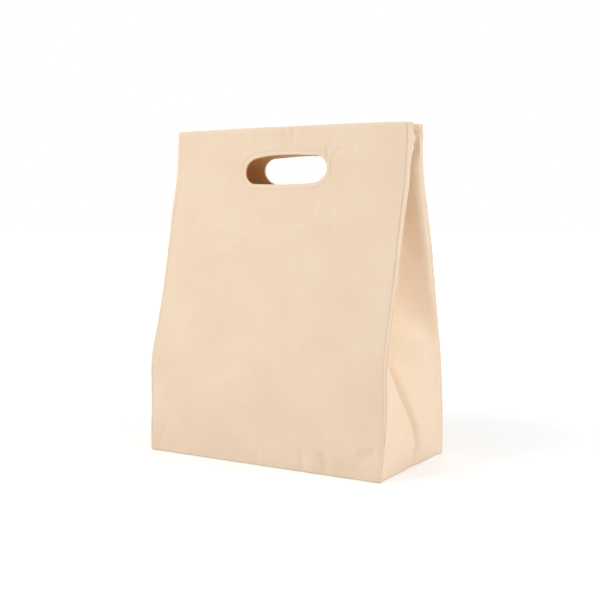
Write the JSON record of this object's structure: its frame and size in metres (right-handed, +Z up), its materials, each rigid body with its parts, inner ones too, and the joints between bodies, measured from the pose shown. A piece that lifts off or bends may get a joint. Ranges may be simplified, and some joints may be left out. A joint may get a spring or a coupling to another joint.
{
  "type": "shopping bag",
  "caption": "Free-standing natural canvas carrier bag with a flat base, leaning walls, folded side gussets and an oval hand slot cut through each wall.",
  "frame": {"origin": "centre of the base, on the surface the bag stands on", "axes": "+Z up, +X along the bag's width, the front wall faces -Y"},
  "size_m": [0.28, 0.1464, 0.342],
  "materials": {
    "canvas": "plain-woven natural cotton canvas, matt",
    "canvas_inside": "inside of the same canvas, matt",
    "thread": "twisted cotton sewing thread"
  },
  "bodies": {
    "base": {"base_panel": "canvas", "base_seam_allowance_front": "canvas_inside", "base_seam_allowance_back": "canvas_inside", "base_seam_allowance_left": "canvas_inside", "base_seam_allowance_right": "canvas_inside"},
    "front_wall": {"front_panel": "canvas", "front_handle_facing": "canvas_inside", "front_slot_stitching": "thread", "front_right_seam_ridge": "canvas", "front_left_seam_ridge": "canvas", "front_right_edge_stitching": "thread", "front_left_edge_stitching": "thread"},
    "back_wall": {"back_panel": "canvas", "back_handle_facing": "canvas_inside", "back_slot_stitching": "thread", "back_right_seam_ridge": "canvas", "back_left_seam_ridge": "canvas", "back_right_edge_stitching": "thread", "back_left_edge_stitching": "thread"},
    "right_front_leaf": {"right_gusset_front": "canvas"},
    "right_back_leaf": {"right_gusset_back": "canvas"},
    "left_front_leaf": {"left_gusset_front": "canvas"},
    "left_back_leaf": {"left_gusset_back": "canvas"}
  },
  "joints": [
    {"name": "front_wall_swing", "type": "hinge", "parent": "base", "child": "front_wall", "pos_m": [0, -0.0725, 0], "axis": [1, 0, 0], "range_deg": [-1.6, 9.5]},
    {"name": "back_wall_swing", "type": "hinge", "parent": "base", "child": "back_wall", "pos_m": [0, 0.0725, 0], "axis": [1, 0, 0], "range_deg": [-9.5, 1.6]},
    {"name": "right_front_leaf_fold", "type": "hinge", "parent": "front_wall", "child": "right_front_leaf", "pos_m": [0.135, -0.0725, 0], "axis": [-0.6419, 0.7642, -0.0635], "range_deg": [-2.49, 14.76], "deforming": ["right_gusset_front"]},
    {"name": "right_back_leaf_fold", "type": "hinge", "parent": "back_wall", "child": "right_back_leaf", "pos_m": [0.135, 0.0725, 0], "axis": [0.6419, 0.7642, 0.0635], "range_deg": [-2.49, 14.76], "deforming": ["right_gusset_back"]},
    {"name": "left_front_leaf_fold", "type": "hinge", "parent": "front_wall", "child": "left_front_leaf", "pos_m": [-0.135, -0.0725, 0], "axis": [-0.6419, -0.7642, 0.0635], "range_deg": [-2.49, 14.76], "deforming": ["left_gusset_front"]},
    {"name": "left_back_leaf_fold", "type": "hinge", "parent": "back_wall", "child": "left_back_leaf", "pos_m": [-0.135, 0.0725, 0], "axis": [0.6419, -0.7642, -0.0635], "range_deg": [-2.49, 14.76], "deforming": ["left_gusset_back"]}
  ],
  "couplings": [
    {"joint": "back_wall_swing", "follows": "front_wall_swing", "ratio": -1},
    {"joint": "right_front_leaf_fold", "follows": "front_wall_swing", "ratio": 1.5529},
    {"joint": "right_back_leaf_fold", "follows": "front_wall_swing", "ratio": 1.5529},
    {"joint": "left_front_leaf_fold", "follows": "front_wall_swing", "ratio": 1.5529},
    {"joint": "left_back_leaf_fold", "follows": "front_wall_swing", "ratio": 1.5529}
  ]
}
